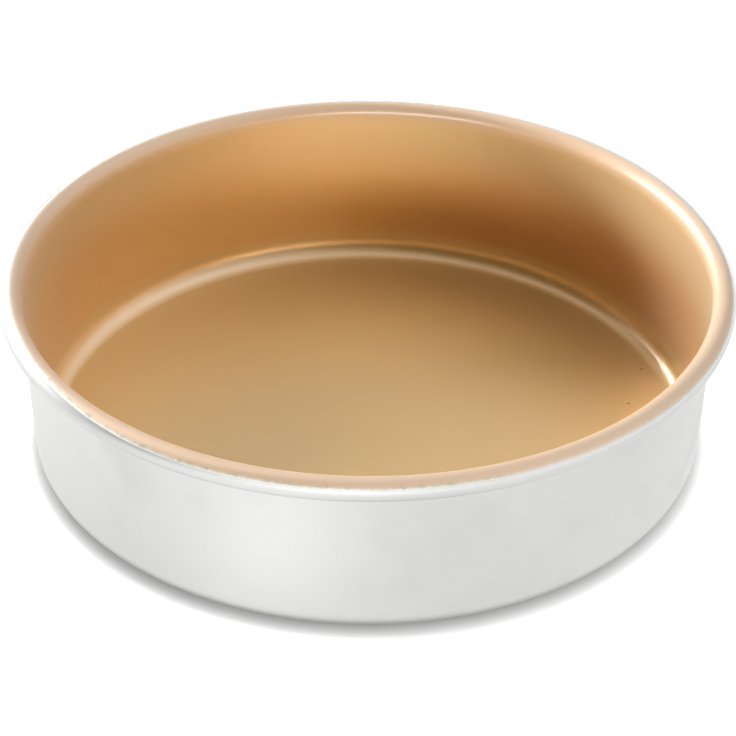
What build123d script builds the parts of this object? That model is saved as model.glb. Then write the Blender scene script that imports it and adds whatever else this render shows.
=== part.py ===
from build123d import *

import os
from math import acos, cos, degrees, radians, sin, tan

# Round cake tin in millimetres. +Z is up, and the origin is the middle of the underside.
# The tin is one drawn sheet, rolled outward at the top round a wire, with a film over its inside.

# Driving sizes of the pan
mouth_diameter = 228.6
pan_height = 62.8
sheet_thickness = 1.0
corner_radius = 7.0
wall_draft_degrees = 2.0

# Driving sizes of the wire and of the rim that is rolled round it
wire_diameter = 4.8
wire_clearance = 0.3
wire_end_gap = 0.8
curl_edge_gap = 0.2

# Driving sizes of the film inside
coating_thickness = 0.2
coating_edge_degrees = 50.0

# Worked out from these: the bead is a round tube of sheet that touches the wall's inside face,
# and the bottom corner touches the floor and the same face.
quarter_turn = 90.0
half_turn = 180.0
full_turn = 360.0
bead_radius = wire_diameter / 2 + wire_clearance + sheet_thickness
mouth_radius = mouth_diameter / 2
lean = radians(wall_draft_degrees)
bead_centre = (mouth_radius + bead_radius * cos(lean), pan_height - bead_radius)
mouth_height = bead_centre[1] + bead_radius * sin(lean)

corner_height = sheet_thickness + corner_radius
wall_radius_at_corner = mouth_radius - (mouth_height - corner_height) * tan(lean)
corner_centre = (wall_radius_at_corner - corner_radius / cos(lean), corner_height)

# Angles on the bead, from outward, anticlockwise in the half section
wall_side_degrees = half_turn - wall_draft_degrees
cut_edge_reach = bead_radius - sheet_thickness - curl_edge_gap
cut_edge_degrees = wall_side_degrees + degrees(acos(cut_edge_reach / bead_radius)) - full_turn

wire_end_gap_degrees = degrees(wire_end_gap / bead_centre[0])


def inside_face(lift, last_degrees):
    """Floor, corner, wall and rim of the inside face, lifted into the pan by a distance."""
    corner = CenterArc(corner_centre, corner_radius - lift, -quarter_turn, quarter_turn - wall_draft_degrees)
    rim = CenterArc(bead_centre, bead_radius + lift, wall_side_degrees, last_degrees - wall_side_degrees)
    floor = Line((0, sheet_thickness + lift), corner @ 0)
    wall = Line(corner @ 1, rim @ 0)
    return [floor, corner, wall, rim]


def layer(lower_lift, upper_lift, last_degrees):
    """Full turn of the layer between two lifts of the inside face, as far as an angle on the rim."""
    lower = inside_face(lower_lift, last_degrees)
    upper = inside_face(upper_lift, last_degrees)
    at_axis = Line(lower[0] @ 0, upper[0] @ 0)
    at_edge = Line(lower[-1] @ 1, upper[-1] @ 1)
    half_section = make_face(lower + [at_edge] + upper + [at_axis])
    return revolve(Plane.XZ * half_section, Axis.Z)


def pan_shell():
    """Drawn sheet: floor, rounded corner, leaning wall and the curl that closes round the wire."""
    return layer(-sheet_thickness, 0, cut_edge_degrees)


def rim_wire():
    """Wire ring in the curl, with its two cut ends face to face across a small gap."""
    section = Plane.XZ * Pos(*bead_centre) * Circle(wire_diameter / 2)
    ring = revolve(section, Axis.Z, full_turn - wire_end_gap_degrees)
    return Rot(0, 0, quarter_turn + wire_end_gap_degrees / 2) * ring


def nonstick_coating():
    """Film on the inside face, which stops part of the way down the rim's outer side."""
    return layer(0, coating_thickness, coating_edge_degrees)


pieces = {
    "pan_shell": pan_shell(),
    "rim_wire": rim_wire(),
    "nonstick_coating": nonstick_coating(),
}

os.makedirs("parts", exist_ok=True)
for name, piece in pieces.items():
    piece.label = name
    export_step(piece, f"parts/{name}.step")
    print(name, "volume", round(piece.volume, 1), "cubic mm")

print("outer diameter", round(2 * (bead_centre[0] + bead_radius), 2), "mm")
print("bead diameter", round(2 * bead_radius, 2), "mm")
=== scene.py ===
"""Looks of a round cake tin: bare satin metal outside, a gold baked film inside, on a white studio sweep."""

import logging
import math
from dataclasses import dataclass
from enum import Enum

import bpy
from mathutils import Matrix, Vector

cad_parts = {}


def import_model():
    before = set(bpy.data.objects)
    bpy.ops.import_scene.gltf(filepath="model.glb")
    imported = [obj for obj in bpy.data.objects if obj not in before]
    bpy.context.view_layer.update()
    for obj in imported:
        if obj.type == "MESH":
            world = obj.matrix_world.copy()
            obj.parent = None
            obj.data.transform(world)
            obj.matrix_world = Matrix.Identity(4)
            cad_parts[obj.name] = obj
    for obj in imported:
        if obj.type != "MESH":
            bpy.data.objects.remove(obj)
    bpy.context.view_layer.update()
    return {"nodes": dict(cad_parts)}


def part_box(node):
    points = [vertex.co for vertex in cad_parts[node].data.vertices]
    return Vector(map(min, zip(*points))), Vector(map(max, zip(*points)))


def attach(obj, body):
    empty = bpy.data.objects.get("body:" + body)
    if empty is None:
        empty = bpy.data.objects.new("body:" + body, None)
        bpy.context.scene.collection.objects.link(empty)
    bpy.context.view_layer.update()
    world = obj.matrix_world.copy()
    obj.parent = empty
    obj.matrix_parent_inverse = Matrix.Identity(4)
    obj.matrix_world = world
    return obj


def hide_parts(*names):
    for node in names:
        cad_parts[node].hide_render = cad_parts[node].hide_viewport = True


LOG = logging.getLogger("cake_tin")
MILLIMETRE = 0.001
WHITE = (1.0, 1.0, 1.0, 1.0)
# The least share, before its square root, to which a lift runs out, so that the piece keeps two faces to its end.
FEATHER_END = 0.02
# The least turn between two faces that is shaded as an edge.
FOLD = math.radians(40.0)

Colour = tuple[float, float, float]
Point = tuple[float, float, float]
Pair = tuple[float, float]
Socket = bpy.types.NodeSocket


def direction(azimuth: float, elevation: float) -> Vector:
    """Give the unit vector of an azimuth from +X and an elevation, both in degrees."""
    turn, rise = math.radians(azimuth), math.radians(elevation)
    return Vector((math.cos(rise) * math.cos(turn), math.cos(rise) * math.sin(turn), math.sin(rise)))


def add_object(name: str, data: bpy.types.ID) -> bpy.types.Object:
    """Make an object and put it in the scene.

    Args:
        name: the object's name.
        data: its mesh, lamp or camera.

    Returns:
        The object.
    """
    made = bpy.data.objects.new(name, data)
    bpy.context.scene.collection.objects.link(made)
    return made


class Body(Enum):
    """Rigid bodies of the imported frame."""

    ROOT = "root"


class Slot(Enum):
    """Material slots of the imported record."""

    BARE_METAL = "bare_metal"
    WIRE = "wire"
    COATING = "coating"


class Graph:
    """A node tree with short calls for adding and joining its nodes."""

    def __init__(self, tree: bpy.types.NodeTree) -> None:
        """Take the tree that the calls work on."""
        self.tree = tree

    def add(self, kind: str, **settings: object) -> bpy.types.Node:
        """Add a node and set its properties.

        Args:
            kind: the node's type name.
            **settings: properties of the node, such as operation.

        Returns:
            The new node.
        """
        node = self.tree.nodes.new(kind)
        for key, value in settings.items():
            setattr(node, key, value)
        return node

    def feed(self, socket: Socket, value: object) -> None:
        """Link an output to an input, or set the input.

        Args:
            socket: the input.
            value: an output, or a number, colour or vector.
        """
        if isinstance(value, Socket):
            self.tree.links.new(value, socket)
        else:
            socket.default_value = value

    def math(self, operation: str, *values: object, clamp: bool = False) -> Socket:
        """Add a Math node.

        Args:
            operation: its operation.
            *values: an output or a number for each of its inputs.
            clamp: keep the result between 0 and 1.

        Returns:
            Its output.
        """
        node = self.add("ShaderNodeMath", operation=operation, use_clamp=clamp)
        for socket, value in zip(node.inputs, values):
            self.feed(socket, value)
        return node.outputs[0]

    def vector_math(self, operation: str, *values: object) -> bpy.types.Node:
        """Add a Vector Math node.

        Args:
            operation: its operation.
            *values: an output or a vector for each of its inputs.

        Returns:
            The node, whose output depends on its operation.
        """
        node = self.add("ShaderNodeVectorMath", operation=operation)
        for socket, value in zip(node.inputs, values):
            self.feed(socket, value)
        return node

    def split(self, vector: Socket) -> list[Socket]:
        """Take a vector apart.

        Args:
            vector: the vector's output.

        Returns:
            Its three parts.
        """
        node = self.add("ShaderNodeSeparateXYZ")
        self.feed(node.inputs[0], vector)
        return list(node.outputs)

    def joined(self, *parts: object) -> Socket:
        """Make a vector.

        Args:
            *parts: its three parts, outputs or numbers.

        Returns:
            The vector.
        """
        node = self.add("ShaderNodeCombineXYZ")
        for socket, value in zip(node.inputs, parts):
            self.feed(socket, value)
        return node.outputs[0]

    def step(self, value: Socket, low: object, high: object) -> Socket:
        """Add a smooth step.

        Args:
            value: what is looked at.
            low: where the step is 0, which may be above high.
            high: where it is 1.

        Returns:
            The step.
        """
        node = self.add("ShaderNodeMapRange", interpolation_type="SMOOTHSTEP")
        self.feed(node.inputs["Value"], value)
        self.feed(node.inputs["From Min"], low)
        self.feed(node.inputs["From Max"], high)
        return node.outputs[0]

    def between(self, value: Socket, low: object, high: object) -> Socket:
        """Map a value onto a range.

        Args:
            value: the value, from 0 to 1.
            low: what 0 becomes.
            high: what 1 becomes.

        Returns:
            The mapped value.
        """
        node = self.add("ShaderNodeMapRange", clamp=False)
        self.feed(node.inputs["Value"], value)
        self.feed(node.inputs["To Min"], low)
        self.feed(node.inputs["To Max"], high)
        return node.outputs[0]

    def product(self, first: object, *others: object) -> Socket:
        """Multiply outputs and numbers.

        Args:
            first: an output or a number.
            *others: what it is multiplied by.

        Returns:
            The product.
        """
        for other in others:
            first = self.math("MULTIPLY", first, other)
        return first

    def blend(self, share: object, first: object, second: object) -> Socket:
        """Mix two numbers.

        Args:
            share: how much of the second number, from 0 to 1.
            first: a number or an output.
            second: a number or an output.

        Returns:
            The mixed number.
        """
        node = self.add("ShaderNodeMix", data_type="FLOAT")
        for socket, value in zip(node.inputs[:1] + node.inputs[2:4], (share, first, second)):
            self.feed(socket, value)
        return node.outputs[0]


class ShaderGraph(Graph):
    """A material's node tree with short calls for the patterns that the finishes use."""

    # Heights in millimetres between which the wall turns into the bead.
    WALL_TO_BEAD: Pair = (55.5, 61.0)

    def __init__(self, name: str) -> None:
        """Start a material that holds a Principled shader and its output.

        Args:
            name: the material's name.
        """
        self.material = bpy.data.materials.new(name)
        self.material.use_nodes = True
        super().__init__(self.material.node_tree)
        self.shader = self.tree.nodes["Principled BSDF"]
        self._place = None

    def place(self) -> Socket:
        """Find a point's place on the tin.

        Returns:
            The object coordinates, which are metres in the tin's own frame.
        """
        if self._place is None:
            self._place = self.add("ShaderNodeTexCoord").outputs["Object"]
        return self._place

    def height(self) -> Socket:
        """Give the height above the bench, in metres."""
        return self.split(self.place())[2]

    def off_axis(self, operation: str) -> bpy.types.Node:
        """Give the node of an operation on the level vector from the tin's axis, such as LENGTH."""
        across, along, _ = self.split(self.place())
        return self.vector_math(operation, self.joined(across, along, 0.0))

    def facing(self, azimuth: float) -> Socket:
        """Give the cosine of the angle round the tin from an azimuth in degrees."""
        outward = self.off_axis("NORMALIZE").outputs[0]
        return self.vector_math("DOT_PRODUCT", outward, direction(azimuth, 0.0)).outputs["Value"]

    def round_the_axis(self, turn_scale: float, height_scale: float) -> Socket:
        """Give coordinates that follow the wall: a point on a circle for the angle, and the height.

        Args:
            turn_scale: the circle's radius in pattern units.
            height_scale: pattern units per metre of height.

        Returns:
            The coordinates, which have no seam.
        """
        outward = self.off_axis("NORMALIZE").outputs[0]
        across, along, _ = self.split(self.vector_math("MULTIPLY", outward, (turn_scale,) * 3).outputs[0])
        return self.joined(across, along, self.product(self.height(), height_scale))

    def between_heights(self, none: float, full: float) -> Socket:
        """Give 0 at one height and 1 at another, both in millimetres."""
        return self.step(self.height(), none * MILLIMETRE, full * MILLIMETRE)

    def on_bead(self) -> Socket:
        """Give 1 on the bead and 0 down the wall."""
        return self.between_heights(*self.WALL_TO_BEAD)

    def noise(self, place: Socket, scale: float, detail: float = 2.0) -> Socket:
        """Add a noise texture.

        Args:
            place: its coordinates.
            scale: its scale.
            detail: its number of finer layers.

        Returns:
            The noise, about 0.5 in the mean.
        """
        node = self.add("ShaderNodeTexNoise")
        self.feed(node.inputs["Vector"], place)
        self.feed(node.inputs["Scale"], scale)
        self.feed(node.inputs["Detail"], detail)
        return node.outputs[0]

    def specks(self, spacing: float, radius: float, share: float) -> Socket:
        """Scatter small round specks.

        Args:
            spacing: the mean distance between their possible places, in metres.
            radius: their radius in metres.
            share: how many of the places have one, from 0 to 1.

        Returns:
            1 on a speck and 0 off it.
        """
        node = self.add("ShaderNodeTexVoronoi")
        self.feed(node.inputs["Vector"], self.place())
        self.feed(node.inputs["Scale"], 1.0 / spacing)
        chosen = self.math("LESS_THAN", self.split(node.outputs["Color"])[0], share)
        return self.product(self._spot(node.outputs["Distance"], radius / spacing), chosen)

    def _spot(self, distance: Socket, radius: float) -> Socket:
        """Give 1 up to half of a radius and 0 from the whole radius on, by the distance to a spot's centre."""
        return self.step(distance, radius, radius / 2)

    def spots(self, places: tuple[Point, ...], radius: float) -> Socket:
        """Put round spots at given places.

        Args:
            places: the spots' centres, in metres.
            radius: their radius in metres.

        Returns:
            1 on a spot and 0 off it.
        """
        near = [self.vector_math("DISTANCE", self.place(), centre).outputs["Value"] for centre in places]
        nearest = near[0]
        for other in near[1:]:
            nearest = self.math("MINIMUM", nearest, other)
        return self._spot(nearest, radius)

    def mix(self, share: object, first: object, second: object) -> Socket:
        """Mix two colours.

        Args:
            share: how much of the second colour, from 0 to 1.
            first: a colour or an output.
            second: a colour or an output.

        Returns:
            The mixed colour.
        """
        node = self.add("ShaderNodeMix", data_type="RGBA")
        self.feed(node.inputs[0], share)
        for socket, value in ((node.inputs[6], first), (node.inputs[7], second)):
            self.feed(socket, value if isinstance(value, Socket) else (*value, 1.0))
        return node.outputs[2]

    def bump(self, height: Socket, distance: float, strength: float) -> None:
        """Turn a height into the shader's normal.

        Args:
            height: the height, from 0 to 1.
            distance: the relief's depth in metres.
            strength: how much of it shows.
        """
        node = self.add("ShaderNodeBump")
        self.feed(node.inputs["Height"], height)
        self.feed(node.inputs["Distance"], distance)
        self.feed(node.inputs["Strength"], strength)
        self.feed(self.shader.inputs["Normal"], node.outputs[0])


@dataclass(frozen=True)
class BareSheet:
    """Satin aluminium sheet, drawn up the wall, with faint smudges, a duller rolled rim and small pips.

    Heights are in millimetres, other sizes in metres.
    """

    colour: Colour = (0.665, 0.667, 0.656)
    smudge: Colour = (0.622, 0.624, 0.618)
    pip: Colour = (0.30, 0.30, 0.29)
    roughness: Pair = (0.36, 0.44)
    rim_roughness: float = 0.55
    smudge_roughness: float = 0.08
    smudge_scale: float = 22.0
    smudge_limits: Pair = (0.48, 0.72)
    streaks_round: float = 260.0
    streaks_upward: float = 18.0
    rolling_scale: Point = (40.0, 2600.0, 40.0)
    rolling_limits: Pair = (0.5, 0.8)
    base_heights: Pair = (1.6, 1.1)
    pip_spacing: float = 11.0 * MILLIMETRE
    pip_radius: float = 0.28 * MILLIMETRE
    pip_share: float = 0.3
    relief: float = 0.004 * MILLIMETRE
    relief_strength: float = 0.5

    def material(self) -> bpy.types.Material:
        """Build the finish.

        Returns:
            The material.
        """
        graph = ShaderGraph("bare_sheet")
        shader = graph.shader.inputs
        streaks = graph.noise(graph.round_the_axis(self.streaks_round, self.streaks_upward), scale=1.0)
        smudged = graph.step(graph.noise(graph.place(), self.smudge_scale, detail=3.0), *self.smudge_limits)
        rolled = graph.vector_math("MULTIPLY", graph.place(), self.rolling_scale).outputs[0]
        grain = graph.noise(rolled, scale=1.0, detail=3.0)
        base = self._on_base(graph)
        sheet = graph.mix(smudged, self.colour, self.smudge)
        sheet = graph.mix(graph.product(base, graph.step(grain, *self.rolling_limits)), sheet, self.smudge)
        pips = graph.specks(self.pip_spacing, self.pip_radius, self.pip_share)
        graph.feed(shader["Base Color"], graph.mix(pips, sheet, self.pip))
        shader["Metallic"].default_value = 1.0
        satin = graph.between(streaks, *self.roughness)
        satin = graph.math("ADD", satin, graph.product(smudged, self.smudge_roughness))
        graph.feed(shader["Roughness"], graph.blend(graph.on_bead(), satin, self.rim_roughness))
        graph.bump(graph.blend(base, streaks, grain), self.relief, self.relief_strength)
        return graph.material

    def _on_base(self, graph: ShaderGraph) -> Socket:
        """Give 1 on the flat base, which keeps the rolling grain, and 0 on the drawn corner and wall."""
        return graph.between_heights(*self.base_heights)


@dataclass(frozen=True)
class GoldFilm:
    """Baked non-stick film: pearly gold under a clear gloss, palest where it is thin.

    Its colour holds painted shade, darker low on the wall and darkest on one side, and painted light, paler higher up
    the wall and as a painted highlight on the corner band.

    Heights and the corner's reach from the axis are in millimetres, other sizes in metres. Sides are in degrees
    from +X, and a spread holds the cosines of the angles from a side where a trait starts and where it is full.
    """

    colour: Colour = (0.825, 0.555, 0.19)
    # Painted light: the wall turns paler higher up, where light falls on it.
    high: Colour = (0.85, 0.62, 0.295)
    painted_light_heights: Pair = (3.0, 30.0)
    # Painted shade: the wall is darker low down, where shade falls, and darkest on one side.
    painted_shade: Colour = (0.845, 0.483, 0.12)
    painted_shade_heights: Pair = (7.0, 13.0)
    painted_shade_fade: Pair = (54.0, 26.0)
    deepest_painted_shade: Colour = (0.72, 0.35, 0.075)
    deepest_shade_side: float = 45.0
    deepest_shade_spread: Pair = (0.6, 1.0)
    pearl: Colour = (0.62, 0.33, 0.10)
    pearl_share: float = 0.12
    on_bead: Colour = (0.795, 0.555, 0.36)
    # Painted highlight: the corner band is lighter than the film, and palest on one side.
    corner_highlight: Colour = (1.0, 0.67, 0.25)
    corner_reach: Pair = (105.7, 107.6)
    corner_heights: Pair = (5.2, 2.6)
    pale_corner_highlight: Colour = (1.0, 0.71, 0.38)
    corner_highlight_heights: Pair = (7.8, 5.0)
    corner_highlight_side: float = 150.0
    corner_highlight_spread: Pair = (0.5, 0.9)
    thin: Colour = (0.84, 0.82, 0.765)
    # Dark spray dust on the border, which on one side also stands for a painted dark reflection.
    dust_and_dark_reflection: Colour = (0.47, 0.43, 0.33)
    dust_and_reflection_side: float = 247.0
    dust_and_reflection_spread: Pair = (0.62, 0.9)
    dust_share: Pair = (0.3, 0.9)
    dust_scale: float = 330.0
    dust_limits: Pair = (0.42, 0.66)
    speck: Colour = (0.2, 0.09, 0.02)
    speck_radius: float = 0.65 * MILLIMETRE
    speck_places: tuple[Point, ...] = ((0.09775, 0.03273, 0.0012), (0.09127, 0.01115, 0.0012))
    roughness: Pair = (0.50, 0.54)
    bead_roughness: float = 0.6
    corner_roughness: float = 0.4
    metal_share: float = 0.8
    bead_metal: float = 0.08
    corner_metal: float = 0.4
    thin_metal: float = 0.12
    gloss_on_bead: float = 0.45
    gloss_roughness: float = 0.3
    gloss_index: float = 2.3
    sheen: float = 0.42
    sheen_roughness: float = 0.5
    sheen_tint: Colour = (1.0, 0.9, 0.8)
    grain_scale: float = 2600.0
    grain_depth: float = 0.003 * MILLIMETRE
    grain_strength: float = 0.4
    cloud_scale: float = 18.0
    cloud_limits: Pair = (0.4, 0.7)
    spatter_scale: float = 1300.0
    spatter: float = 1.75

    def material(self) -> bpy.types.Material:
        """Build the finish.

        Returns:
            The material.
        """
        graph = ShaderGraph("gold_film")
        shader = graph.shader.inputs
        clouds = graph.noise(graph.place(), self.cloud_scale)
        grain = graph.noise(graph.place(), self.grain_scale)
        cover = self._cover(graph)
        bead = graph.on_bead()
        # The side where the corner's painted highlight is palest.
        pale = graph.step(graph.facing(self.corner_highlight_side), *self.corner_highlight_spread)
        corner = self._at_corner(graph, pale)
        gold = self._gold(graph, clouds, grain)
        gold = graph.mix(bead, gold, self.on_bead)
        # Painted highlight on the corner band.
        gold = graph.mix(corner, gold, graph.mix(pale, self.corner_highlight, self.pale_corner_highlight))
        gold = graph.mix(graph.spots(self.speck_places, self.speck_radius), gold, self.speck)
        gold = graph.mix(cover, self.thin, gold)
        # Dust on the border, with a painted dark reflection in it.
        graph.feed(shader["Base Color"], graph.mix(self._dust_and_dark_reflection(graph, cover), gold, self.dust_and_dark_reflection))
        metal = graph.blend(bead, self.metal_share, self.bead_metal)
        metal = graph.blend(corner, metal, self.corner_metal)
        graph.feed(shader["Metallic"], graph.blend(cover, self.thin_metal, metal))
        satin = graph.blend(bead, graph.between(clouds, *self.roughness), self.bead_roughness)
        satin = graph.blend(corner, satin, self.corner_roughness)
        graph.feed(shader["Roughness"], graph.blend(cover, self.bead_roughness, satin))
        graph.feed(shader["Coat Weight"], graph.product(cover, graph.blend(bead, 1.0, self.gloss_on_bead)))
        self._set_gloss(shader)
        graph.bump(grain, self.grain_depth, self.grain_strength)
        return graph.material

    def _set_gloss(self, shader: bpy.types.NodeInputs) -> None:
        """Set the clear gloss and the sheen, which are the same all over.

        Args:
            shader: the inputs of the finish's shader.
        """
        shader["Coat Roughness"].default_value = self.gloss_roughness
        shader["Coat IOR"].default_value = self.gloss_index
        shader["Sheen Weight"].default_value = self.sheen
        shader["Sheen Roughness"].default_value = self.sheen_roughness
        shader["Sheen Tint"].default_value = (*self.sheen_tint, 1.0)

    def _gold(self, graph: ShaderGraph, clouds: Socket, grain: Socket) -> Socket:
        """Mix the colour of floor and wall, with painted light and painted shade in it.

        Args:
            graph: the finish's tree.
            clouds: the broad noise of the spraying.
            grain: the fine noise of the pearl.

        Returns:
            The colour, which is paler higher up with painted light, darker low on the wall with painted shade,
            darkest there on one side, and mottled with pearl.
        """
        # Painted light: paler higher up the wall.
        gold = graph.mix(graph.between_heights(*self.painted_light_heights), self.colour, self.high)
        # Painted shade: darker low on the wall, darkest on one side.
        painted_shade = graph.mix(graph.step(graph.facing(self.deepest_shade_side), *self.deepest_shade_spread), self.painted_shade, self.deepest_painted_shade)
        shade_low_on_wall = graph.product(graph.between_heights(*self.painted_shade_heights), graph.between_heights(*self.painted_shade_fade))
        gold = graph.mix(shade_low_on_wall, gold, painted_shade)
        mottle = graph.math("ADD", grain, graph.step(clouds, *self.cloud_limits))
        return graph.mix(graph.product(mottle, self.pearl_share / 2), gold, self.pearl)

    def _cover(self, graph: ShaderGraph) -> Socket:
        """Read how well the film covers the sheet, and break its border into fine spatter.

        Args:
            graph: the finish's tree.

        Returns:
            1 on the full film and 0 off it.
        """
        cover = graph.add("ShaderNodeAttribute", attribute_name="film_cover").outputs["Fac"]
        spatter = graph.math("SUBTRACT", graph.noise(graph.place(), self.spatter_scale, detail=3.0), 0.5)
        return graph.math("ADD", cover, graph.product(spatter, self._border(graph, cover), self.spatter), clamp=True)

    def _border(self, graph: ShaderGraph, cover: Socket) -> Socket:
        """Give 1 half way out on the film's border, and 0 on the full film and off it."""
        return graph.product(cover, graph.math("SUBTRACT", 1.0, cover), 4.0)

    def _dust_and_dark_reflection(self, graph: ShaderGraph, cover: Socket) -> Socket:
        """Lay dark spray dust on the film's border, on one side of the tin, where it also stands for a painted dark
        reflection.

        Args:
            graph: the finish's tree.
            cover: how well the film covers the sheet.

        Returns:
            How much dust and painted dark reflection there is, from 0 to 1.
        """
        patches = graph.step(graph.noise(graph.place(), self.dust_scale, detail=5.0), *self.dust_limits)
        amount = graph.between(patches, *self.dust_share)
        dust_and_reflection_mask = graph.step(graph.facing(self.dust_and_reflection_side), *self.dust_and_reflection_spread)
        return graph.product(self._border(graph, cover), amount, dust_and_reflection_mask)

    def _at_corner(self, graph: ShaderGraph, pale: Socket) -> Socket:
        """Mark the drawn corner, up to a height that is greater on the side where its painted highlight is palest.

        Args:
            graph: the finish's tree.
            pale: 1 on the side where the corner's painted highlight is palest.

        Returns:
            1 on the corner and 0 on the floor and the wall.
        """
        inner, outer = (reach * MILLIMETRE for reach in self.corner_reach)
        off_floor = graph.step(graph.off_axis("LENGTH").outputs["Value"], inner, outer)
        top, full = (
            graph.between(pale, low * MILLIMETRE, high * MILLIMETRE)
            for low, high in zip(self.corner_heights, self.corner_highlight_heights)
        )
        return graph.product(off_floor, graph.step(graph.height(), top, full))


@dataclass(frozen=True)
class ZincWire:
    """Drawn steel wire with a dull zinc coat."""

    colour: Colour = (0.56, 0.57, 0.58)
    spangle: Colour = (0.44, 0.45, 0.47)
    spangle_scale: float = 900.0
    roughness: Pair = (0.4, 0.6)
    relief: float = 0.01 * MILLIMETRE
    relief_strength: float = 0.3

    def material(self) -> bpy.types.Material:
        """Build the finish.

        Returns:
            The material.
        """
        graph = ShaderGraph("zinc_wire")
        shader = graph.shader.inputs
        shader["Metallic"].default_value = 1.0
        spots = graph.noise(graph.place(), self.spangle_scale)
        graph.feed(shader["Base Color"], graph.mix(spots, self.colour, self.spangle))
        graph.feed(shader["Roughness"], graph.between(spots, *self.roughness))
        graph.bump(spots, self.relief, self.relief_strength)
        return graph.material


@dataclass(frozen=True)
class SectionSteps:
    """How many straight pieces each stretch of a section gets."""

    floor: int = 6
    corner: int = 14
    wall: int = 6
    bead: int = 52


@dataclass(frozen=True)
class SectionPoint:
    """A point of the half section: radius and height in metres, and its share of the way on the bead."""

    radius: float
    height: float
    bead_share: float = 0.0

    @classmethod
    def on_circle(cls, centre: Pair, reach: float, angle: float, bead_share: float = 0.0) -> "SectionPoint":
        """Give the point at a reach and an angle in radians from a centre's radius and height."""
        return cls(centre[0] + reach * math.cos(angle), centre[1] + reach * math.sin(angle), bead_share)


@dataclass(frozen=True)
class TinForm:
    """The tin's half section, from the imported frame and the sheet's own sizes, in metres."""

    bead_radius_at: float
    bead_height_at: float
    bead: float
    sheet: float = 1.0 * MILLIMETRE
    corner: float = 7.0 * MILLIMETRE
    draft: float = math.radians(2.0)
    curl_gap: float = 0.2 * MILLIMETRE
    film: float = 0.2 * MILLIMETRE
    film_end: float = math.radians(50.0)

    @classmethod
    def from_frame(cls) -> "TinForm":
        """Read the bead's centre and radius from the boxes of the wire and the shell.

        Returns:
            The tin's form.
        """
        wire_low, wire_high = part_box("rim_wire")
        shell_low, shell_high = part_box("pan_shell")
        wire = (wire_high.z - wire_low.z) / 2
        centre = (wire_high.x - wire_low.x) / 2 - wire
        return cls(centre, (wire_high.z + wire_low.z) / 2, (shell_high.x - shell_low.x) / 2 - centre)

    @property
    def wall_side(self) -> float:
        """Angle on the bead where the wall runs into it."""
        return math.pi - self.draft

    @property
    def cut_edge(self) -> float:
        """Angle on the bead where the sheet's cut edge stops short of the wall."""
        reach = self.bead - self.sheet - self.curl_gap
        return self.wall_side + math.acos(reach / self.bead) - 2 * math.pi

    @property
    def bead_centre(self) -> Pair:
        """Radius and height of the bead's centre."""
        return self.bead_radius_at, self.bead_height_at

    @property
    def corner_centre(self) -> Pair:
        """Find the centre of the rounded corner between floor and wall.

        Returns:
            Its radius and height.
        """
        height = self.sheet + self.corner
        mouth = self.bead_radius_at - self.bead * math.cos(self.draft)
        fall = self.bead_height_at + self.bead * math.sin(self.draft) - height
        return mouth - fall * math.tan(self.draft) - self.corner / math.cos(self.draft), height

    def inside_face(self, lift: float, last: float, steps: SectionSteps, feather: float = 0.0) -> list[SectionPoint]:
        """Trace the inside face, lifted into the tin, from the axis to an angle on the bead.

        Args:
            lift: how far the face is lifted into the tin.
            last: the angle on the bead where it ends, from outward.
            steps: how many straight pieces each stretch gets.
            feather: the share of the bead's stretch over which the lift runs out.

        Returns:
            The points from the axis outwards.
        """
        flat_radius = self.corner_centre[0]
        flat = [SectionPoint(flat_radius * index / steps.floor, self.sheet + lift) for index in range(steps.floor)]
        turned = []
        for index in range(steps.corner + 1):
            angle = -math.pi / 2 + (math.pi / 2 - self.draft) * index / steps.corner
            turned.append(SectionPoint.on_circle(self.corner_centre, self.corner - lift, angle))
        rim = []
        for index in range(steps.bead + 1):
            share = index / steps.bead
            angle = self.wall_side + (last - self.wall_side) * share
            left = min(1.0, (1.0 - share) / feather) if feather else 1.0
            reach = self.bead + lift * math.sqrt(max(left, FEATHER_END))
            rim.append(SectionPoint.on_circle(self.bead_centre, reach, angle, share))
        wall = [
            SectionPoint(
                turned[-1].radius + (rim[0].radius - turned[-1].radius) * index / steps.wall,
                turned[-1].height + (rim[0].height - turned[-1].height) * index / steps.wall,
            )
            for index in range(1, steps.wall)
        ]
        return flat + turned + wall + rim


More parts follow.
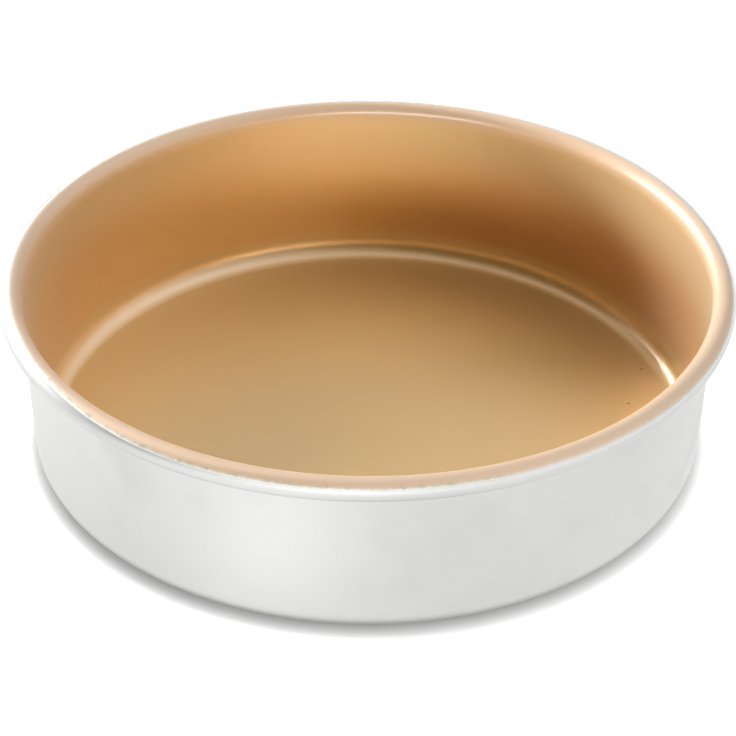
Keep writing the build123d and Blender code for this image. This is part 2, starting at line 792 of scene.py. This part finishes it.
class Sweep(Graph):
    """A Geometry Nodes tree that turns a half section about the tin's axis.

    The part of a section that lies on the bead is stretched along it, from the wall to an end that
    changes round the rim, so a film can end on an uneven border that sits lower on one side.
    """

    INPUTS: tuple[tuple[str, tuple[str, ...]], ...] = (
        ("NodeSocketInt", ("Turn Steps",)),
        ("NodeSocketFloat", ("Bead Radius", "Bead Height", "Wall Side", "Sharp Angle")),
        ("NodeSocketFloat", ("Low End", "High End", "Low Feather", "High Feather", "Low Side", "Low Spread")),
        ("NodeSocketFloat", ("Rag", "Rag Scale", "Rag Seed")),
        ("NodeSocketMaterial", ("Finish",)),
    )
    RAG_DETAIL: float = 6.0
    RAG_ROUGHNESS: float = 0.7
    MERGE_DISTANCE: float = 0.001 * MILLIMETRE

    def __init__(self) -> None:
        """Build the tree and its named inputs."""
        super().__init__(bpy.data.node_groups.new("sweep_round_the_axis", "GeometryNodeTree"))
        face = self.tree.interface
        face.new_socket("Geometry", in_out="INPUT", socket_type="NodeSocketGeometry")
        self.sockets = {
            name: face.new_socket(name, in_out="INPUT", socket_type=kind)
            for kind, names in self.INPUTS
            for name in names
        }
        face.new_socket("Geometry", in_out="OUTPUT", socket_type="NodeSocketGeometry")
        self.given = self.add("NodeGroupInput").outputs
        ended = self._stretch_on_bead(self._swept())
        self._dress(ended)

    def _swept(self) -> Socket:
        """Sweep the section round a circle.

        Returns:
            The swept mesh.
        """
        circle = self.add("GeometryNodeCurvePrimitiveCircle", mode="RADIUS")
        self.feed(circle.inputs["Resolution"], self.given["Turn Steps"])
        self.feed(circle.inputs["Radius"], self.given["Bead Radius"])
        section = self.add("GeometryNodeMeshToCurve")
        self.feed(section.inputs["Mesh"], self.given["Geometry"])
        swept = self.add("GeometryNodeCurveToMesh")
        self.feed(swept.inputs["Curve"], circle.outputs["Curve"])
        self.feed(swept.inputs["Profile Curve"], section.outputs["Curve"])
        return swept.outputs["Mesh"]

    def _end_angle(self, turn: Socket) -> tuple[Socket, Socket]:
        """Give the angle on the bead where the film ends, and the angle over which it thins out.

        Args:
            turn: the angle round the tin.

        Returns:
            The end angle and the feather's width, both in radians.
        """
        facing = self.math("COSINE", self.math("SUBTRACT", turn, self.given["Low Side"]))
        high = self.step(self.math("SUBTRACT", self.given["Low Spread"], facing), 0.0, self.given["Low Spread"])
        rag = self.add("ShaderNodeTexNoise", noise_dimensions="4D")
        ring = self.joined(self.math("COSINE", turn), self.math("SINE", turn), 0.0)
        self.feed(rag.inputs["Vector"], ring)
        self.feed(rag.inputs["Scale"], self.given["Rag Scale"])
        self.feed(rag.inputs["W"], self.given["Rag Seed"])
        rag.inputs["Detail"].default_value = self.RAG_DETAIL
        rag.inputs["Roughness"].default_value = self.RAG_ROUGHNESS
        uneven = self.product(self.math("SUBTRACT", rag.outputs[0], 0.5), self.given["Rag"])
        end = self.math("ADD", self.between(high, self.given["Low End"], self.given["High End"]), uneven)
        return end, self.between(high, self.given["Low Feather"], self.given["High Feather"])

    def _stretch_on_bead(self, mesh: Socket) -> Socket:
        """Stretch the part of the section on the bead to the film's end, and store how well the film covers.

        Args:
            mesh: the swept mesh.

        Returns:
            The mesh with its border in place, and the attribute film_cover.
        """
        across, along, height = self.split(self.add("GeometryNodeInputPosition").outputs[0])
        turn = self.math("ARCTAN2", along, across)
        length = self.vector_math("LENGTH", self.joined(across, along, 0.0)).outputs["Value"]
        out = self.math("SUBTRACT", length, self.given["Bead Radius"])
        rise = self.math("SUBTRACT", height, self.given["Bead Height"])
        reach = self.vector_math("LENGTH", self.joined(out, rise, 0.0)).outputs["Value"]
        end, feather = self._end_angle(turn)
        share = self.add("GeometryNodeInputNamedAttribute", data_type="FLOAT")
        share.inputs["Name"].default_value = "bead_share"
        angle = self.between(share.outputs["Attribute"], self.given["Wall Side"], end)
        radius = self.math("ADD", self.given["Bead Radius"], self.product(reach, self.math("COSINE", angle)))
        target = self.joined(
            self.product(radius, self.math("COSINE", turn)),
            self.product(radius, self.math("SINE", turn)),
            self.math("ADD", self.given["Bead Height"], self.product(reach, self.math("SINE", angle))),
        )
        cover = self.step(self.math("SUBTRACT", angle, end), 0.0, feather)
        stored = self.add("GeometryNodeStoreNamedAttribute", data_type="FLOAT", domain="POINT")
        self.feed(stored.inputs["Geometry"], mesh)
        stored.inputs["Name"].default_value = "film_cover"
        self.feed(stored.inputs["Value"], cover)
        on_bead = self.add("FunctionNodeCompare", data_type="FLOAT", operation="GREATER_THAN")
        self.feed(on_bead.inputs["A"], share.outputs["Attribute"])
        placed = self.add("GeometryNodeSetPosition")
        self.feed(placed.inputs["Geometry"], stored.outputs["Geometry"])
        self.feed(placed.inputs["Selection"], on_bead.outputs[0])
        self.feed(placed.inputs["Position"], target)
        return placed.outputs["Geometry"]

    def _dress(self, mesh: Socket) -> None:
        """Merge the points on the axis, shade the faces, crease the folds and give the finish.

        Args:
            mesh: the placed mesh.
        """
        merged = self.add("GeometryNodeMergeByDistance")
        self.feed(merged.inputs["Geometry"], mesh)
        merged.inputs["Distance"].default_value = self.MERGE_DISTANCE
        smooth = self.add("GeometryNodeSetShadeSmooth", domain="FACE")
        self.feed(smooth.inputs["Geometry"], merged.outputs["Geometry"])
        fold = self.add("FunctionNodeCompare", data_type="FLOAT", operation="GREATER_THAN")
        self.feed(fold.inputs["A"], self.add("GeometryNodeInputMeshEdgeAngle").outputs["Unsigned Angle"])
        self.feed(fold.inputs["B"], self.given["Sharp Angle"])
        creased = self.add("GeometryNodeSetShadeSmooth", domain="EDGE")
        self.feed(creased.inputs["Geometry"], smooth.outputs["Geometry"])
        self.feed(creased.inputs["Selection"], fold.outputs[0])
        creased.inputs["Shade Smooth"].default_value = False
        real = self.add("GeometryNodeRealizeInstances")
        self.feed(real.inputs["Geometry"], creased.outputs["Geometry"])
        dressed = self.add("GeometryNodeSetMaterial")
        self.feed(dressed.inputs["Geometry"], real.outputs["Geometry"])
        self.feed(dressed.inputs["Material"], self.given["Finish"])
        self.feed(self.add("NodeGroupOutput").inputs["Geometry"], dressed.outputs["Geometry"])

    def turn(self, name: str, form: TinForm, outline: list[SectionPoint], **inputs: object) -> bpy.types.Object:
        """Sweep a closed outline round the tin's axis and bake it to a plain mesh.

        Args:
            name: the piece's name.
            form: the tin's form, for the bead that the section is placed by.
            outline: the section's points in order, closed by the last one's join to the first.
            **inputs: the tree's inputs, named with underscores for spaces.

        Returns:
            The finished object, at the origin, with no modifier.
        """
        # The sweep lays a section's second coordinate downwards, so heights are drawn negative.
        corners = [(point.radius - form.bead_radius_at, -point.height, 0.0) for point in outline]
        edges = [(index, (index + 1) % len(corners)) for index in range(len(corners))]
        drawn = bpy.data.meshes.new(name + "_section")
        drawn.from_pydata(corners, edges, [])
        shares = drawn.attributes.new("bead_share", "FLOAT", "POINT")
        shares.data.foreach_set("value", [point.bead_share for point in outline])
        host = add_object(name, drawn)
        sweep = host.modifiers.new("sweep", "NODES")
        sweep.node_group = self.tree
        settings = {"Bead Radius": form.bead_radius_at, "Bead Height": form.bead_height_at}
        settings.update({key.replace("_", " "): value for key, value in inputs.items()})
        for key, value in settings.items():
            sweep[self.sockets[key].identifier] = value
        ready = host.evaluated_get(bpy.context.evaluated_depsgraph_get())
        baked = bpy.data.meshes.new_from_object(ready)
        host.modifiers.remove(sweep)
        host.data = baked
        baked.name = name
        bpy.data.meshes.remove(drawn)
        return host


@dataclass(frozen=True)
class PanShell:
    """The drawn sheet: floor, rounded corner, wall and the curl round the wire."""

    form: TinForm
    finish: BareSheet = BareSheet()
    turn_steps: int = 360
    steps: SectionSteps = SectionSteps()

    def build(self, sweep: Sweep) -> bpy.types.Object:
        """Build the shell and put it in the place of its CAD node.

        Args:
            sweep: the tree that turns its section.

        Returns:
            The shell.
        """
        top = self.form.inside_face(0.0, self.form.cut_edge, self.steps)
        under = self.form.inside_face(-self.form.sheet, self.form.cut_edge, self.steps)
        # The shell's section isn't stretched, so its points keep no share of the bead.
        outline = [SectionPoint(point.radius, point.height) for point in top + under[::-1]]
        shell = sweep.turn(
            "pan_shell_sheet",
            self.form,
            outline,
            Turn_Steps=self.turn_steps,
            Sharp_Angle=FOLD,
            Finish=self.finish.material(),
        )
        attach(shell, Body.ROOT.value)
        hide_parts("pan_shell")
        return shell


@dataclass(frozen=True)
class Coating:
    """The gold film inside, which ends on the bead along an uneven border."""

    form: TinForm
    finish: GoldFilm = GoldFilm()
    turn_steps: int = 720
    low_end: float = math.radians(27.0)
    high_end: float = math.radians(71.0)
    low_feather: float = math.radians(25.0)
    high_feather: float = math.radians(35.0)
    low_side: float = math.radians(290.0)
    low_spread: float = 0.74
    rag: float = math.radians(9.0)
    rag_scale: float = 7.0
    rag_seed: float = 3.0
    thinning: float = 0.16
    steps: SectionSteps = SectionSteps(bead=30)

    def build(self, sweep: Sweep) -> bpy.types.Object:
        """Build the film and put it in the place of its CAD node.

        Args:
            sweep: the tree that turns its section.

        Returns:
            The film.
        """
        top = self.form.inside_face(self.form.film, self.form.film_end, self.steps, self.thinning)
        back = self.form.inside_face(0.0, self.form.film_end, self.steps)
        film = sweep.turn(
            "nonstick_film",
            self.form,
            top + back[::-1],
            Turn_Steps=self.turn_steps,
            Wall_Side=self.form.wall_side,
            Low_End=self.low_end,
            High_End=self.high_end,
            Low_Feather=self.low_feather,
            High_Feather=self.high_feather,
            Low_Side=self.low_side,
            Low_Spread=self.low_spread,
            Rag=self.rag,
            Rag_Scale=self.rag_scale,
            Rag_Seed=self.rag_seed,
            Sharp_Angle=FOLD,
            Finish=self.finish.material(),
        )
        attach(film, Body.ROOT.value)
        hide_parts("nonstick_coating")
        return film


@dataclass(frozen=True)
class RimWire:
    """The wire ring in the rolled rim, which keeps its CAD shape."""

    finish: ZincWire = ZincWire()

    def dress(self, node: bpy.types.Object) -> bpy.types.Object:
        """Give the wire its finish.

        Args:
            node: the wire's CAD node.

        Returns:
            The same node.
        """
        node.data.materials.clear()
        node.data.materials.append(self.finish.material())
        return node


@dataclass(frozen=True)
class Camera:
    """The photograph's view, in metres, degrees and pixels of the 736 pixel frame."""

    image_width: float = 736.0
    focal_pixels: float = 2483.9
    elevation: float = 33.814
    distance: float = 0.84613
    roll: float = 0.346
    target: Point = (0.00026, 0.0, 0.02289)
    sensor: float = 36.0

    def build(self) -> bpy.types.Object:
        """Create the camera and make it the scene's own.

        Returns:
            The camera.
        """
        data = bpy.data.cameras.new("camera")
        data.sensor_width = self.sensor
        data.lens = self.focal_pixels * self.sensor / self.image_width
        rise = math.radians(self.elevation)
        back = Vector((0.0, -math.cos(rise), math.sin(rise)))
        side = Vector((1.0, 0.0, 0.0))
        over = back.cross(side)
        tilt = math.radians(self.roll)
        right = side * math.cos(tilt) + over * math.sin(tilt)
        upward = over * math.cos(tilt) - side * math.sin(tilt)
        turn = Matrix((right, upward, back)).transposed().to_4x4()
        camera = add_object("camera", data)
        camera.matrix_world = Matrix.Translation(Vector(self.target) + back * self.distance) @ turn
        bpy.context.scene.camera = camera
        return camera


@dataclass(frozen=True)
class Softbox:
    """A soft lamp that faces the tin, placed by the angles at which the tin's mouth sees it, in degrees."""

    name: str
    azimuth: float
    elevation: float
    width: float
    height: float
    level: float
    tilt: float = 0.0
    distance: float = 1.6
    aim: Point = (0.0, 0.0, 0.06)

    def build(self) -> bpy.types.Object:
        """Hang the lamp, turn it towards the tin and tilt it about the line between them.

        Returns:
            The lamp, which the camera doesn't see.
        """
        across = 2 * self.distance * math.tan(math.radians(self.width / 2))
        upright = 2 * self.distance * math.tan(math.radians(self.height / 2))
        data = bpy.data.lights.new(self.name, "AREA")
        data.shape = "RECTANGLE"
        data.size = across
        data.size_y = upright
        data.energy = self.level * math.pi * across * upright
        lamp = add_object(self.name, data)
        away = direction(self.azimuth, self.elevation)
        facing = away.to_track_quat("Z", "Y").to_matrix().to_4x4()
        roll = Matrix.Rotation(math.radians(self.tilt), 4, "Z")
        lamp.matrix_world = Matrix.Translation(Vector(self.aim) + away * self.distance) @ facing @ roll
        lamp.visible_camera = False
        return lamp


@dataclass(frozen=True)
class SkyPatch:
    """A soft part of the dome that is brighter or darker than the rest, placed by angles in degrees."""

    azimuth: float
    elevation: float
    tightness: float
    strength: float


@dataclass(frozen=True)
class Dome:
    """The pale dome over the studio: an even level, soft patches on it and a white band at the horizon."""

    level: float = 0.17
    patches: tuple[SkyPatch, ...] = (
        SkyPatch(azimuth=30.0, elevation=63.0, tightness=2.7, strength=0.96),
        SkyPatch(azimuth=138.0, elevation=57.0, tightness=8.0, strength=0.5),
        SkyPatch(azimuth=5.0, elevation=38.0, tightness=7.0, strength=0.22),
        SkyPatch(azimuth=197.0, elevation=0.0, tightness=1.7, strength=-1.03),
    )
    horizon: float = 0.9
    horizon_height: float = 0.07

    def build(self) -> None:
        """Make the world."""
        world = bpy.data.worlds.new("studio")
        world.use_nodes = True
        bpy.context.scene.world = world
        graph = Graph(world.node_tree)
        ground = world.node_tree.nodes["Background"]
        ground.inputs["Color"].default_value = WHITE
        looking = graph.add("ShaderNodeTexCoord").outputs["Generated"]
        level = self.level
        for patch in self.patches:
            near = graph.vector_math("DOT_PRODUCT", looking, direction(patch.azimuth, patch.elevation))
            fall = graph.product(graph.math("SUBTRACT", near.outputs["Value"], 1.0), patch.tightness)
            level = graph.math("ADD", level, graph.product(graph.math("EXPONENT", fall), patch.strength))
        band = graph.step(graph.split(looking)[2], self.horizon_height, 0.0)
        level = graph.blend(band, graph.math("MAXIMUM", level, 0.0), self.horizon)
        seen = graph.add("ShaderNodeLightPath").outputs["Is Camera Ray"]
        graph.feed(ground.inputs["Strength"], graph.blend(seen, level, 1.0))


@dataclass(frozen=True)
class WhiteFloor:
    """The white sweep that the tin stands on, which keeps its shadow."""

    size: float = 6.0
    paint: Colour = (0.80, 0.80, 0.80)
    speckle: Colour = (0.82, 0.82, 0.82)
    speckle_scale: float = 40.0
    roughness: float = 0.9
    lift: float = 0.63
    # Painted light: the floor's glow is brighter to one side and has a painted pool of light before the tin, both
    # seen reflected in the bare metal.
    lean: Point = (-0.88, 0.54, 0.0)
    lean_reach: float = 0.16
    lean_share: float = 0.13
    light_pool_at: Point = (-0.052, -0.15, 0.0)
    light_pool_reach: float = 0.04
    light_pool: float = 0.3
    contact: float = 5.0 * MILLIMETRE
    contact_power: float = 2.0
    contact_samples: int = 8

    def build(self) -> bpy.types.Object:
        """Lay the floor.

        Returns:
            The floor.
        """
        graph = ShaderGraph("white_sweep")
        shader = graph.shader.inputs
        shader["Roughness"].default_value = self.roughness
        speckle = graph.noise(graph.place(), self.speckle_scale)
        graph.feed(shader["Base Color"], graph.mix(speckle, self.paint, self.speckle))
        rays = graph.add("ShaderNodeLightPath").outputs
        seen = graph.math("MAXIMUM", rays["Is Camera Ray"], rays["Is Glossy Ray"])
        seen = graph.math("MAXIMUM", seen, rays["Is Transmission Ray"])
        open_air = graph.add("ShaderNodeAmbientOcclusion", samples=self.contact_samples)
        open_air.inputs["Distance"].default_value = self.contact
        lifted = graph.product(graph.math("POWER", open_air.outputs["AO"], self.contact_power), self._level(graph))
        shader["Emission Color"].default_value = WHITE
        graph.feed(shader["Emission Strength"], graph.product(seen, lifted))
        half = self.size / 2
        data = bpy.data.meshes.new("floor")
        corners = [(-half, -half, 0.0), (half, -half, 0.0), (half, half, 0.0), (-half, half, 0.0)]
        data.from_pydata(corners, [], [(0, 1, 2, 3)])
        data.materials.append(graph.material)
        floor = add_object("floor", data)
        return floor

    def _level(self, graph: ShaderGraph) -> Socket:
        """Give the sweep a glow of its own, painted light that is brighter to one side and has a soft painted pool of
        light before the tin.

        Args:
            graph: the sweep's tree.

        Returns:
            The light's level.
        """
        along = graph.vector_math("DOT_PRODUCT", graph.place(), self.lean).outputs["Value"]
        swing = graph.step(along, -self.lean_reach, self.lean_reach)
        leaning = graph.between(swing, self.lift - self.lean_share, self.lift + self.lean_share)
        away = graph.vector_math("DISTANCE", graph.place(), self.light_pool_at).outputs["Value"]
        near = graph.math("EXPONENT", graph.product(graph.math("POWER", away, 2.0), -self.light_pool_reach**-2))
        return graph.math("ADD", leaning, graph.product(near, self.light_pool))


@dataclass(frozen=True)
class Studio:
    """White floor, pale dome and soft lamps."""

    dome: Dome = Dome()
    floor: WhiteFloor = WhiteFloor()
    film_lamps: tuple[Softbox, ...] = (
        Softbox("back_lamp", azimuth=147.0, elevation=15.5, width=45.0, height=8.4, level=41.0, tilt=-31.0),
        Softbox("back_streak", azimuth=142.0, elevation=22.0, width=22.0, height=4.0, level=9.0, tilt=52.0),
    )
    soft_lamps: tuple[Softbox, ...] = (
        Softbox("front_strip", azimuth=258.0, elevation=8.2, width=54.0, height=3.8, level=29.0, distance=1.0),
    )
    metal_lamps: tuple[Softbox, ...] = (
        Softbox("front_glow", azimuth=260.0, elevation=8.2, width=54.0, height=3.8, level=18.0, distance=1.0),
        Softbox("left_card", azimuth=198.0, elevation=16.0, width=40.0, height=20.0, level=0.5),
        Softbox("back_glow", azimuth=147.0, elevation=15.5, width=45.0, height=8.4, level=16.0, tilt=-31.0),
        Softbox("right_card", azimuth=42.0, elevation=8.0, width=70.0, height=26.0, level=1.6),
        Softbox("front_card", azimuth=325.0, elevation=11.0, width=60.0, height=24.0, level=1.4),
    )

    def build(self, metal: list[bpy.types.Object], film: list[bpy.types.Object]) -> None:
        """Lay the floor, raise the dome and hang the lamps, each of which lights its own pieces alone.

        Args:
            metal: the bare pieces.
            film: the coated pieces.
        """
        self.dome.build()
        floor = self.floor.build()
        for lamps, pieces in (
            (self.film_lamps, film),
            (self.soft_lamps, [*film, floor]),
            (self.metal_lamps, metal),
        ):
            for lamp in lamps:
                lit = bpy.data.collections.new("lit_by_the_" + lamp.name)
                for piece in pieces:
                    lit.objects.link(piece)
                lamp.build().light_linking.receiver_collection = lit
        bpy.context.scene.view_settings.view_transform = "Standard"


def main() -> None:
    """Load the frame, build each piece around it, and light it."""
    logging.basicConfig(level=logging.INFO, format="%(name)s: %(message)s")
    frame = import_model()
    Camera().build()
    form = TinForm.from_frame()
    sweep = Sweep()
    metal = [PanShell(form).build(sweep), RimWire().dress(frame["nodes"]["rim_wire"])]
    film = [Coating(form).build(sweep)]
    for piece in metal + film:
        LOG.info("%s has %d faces", piece.name, len(piece.data.polygons))
    Studio().build(metal, film)


if __name__ == "__main__":
    main()
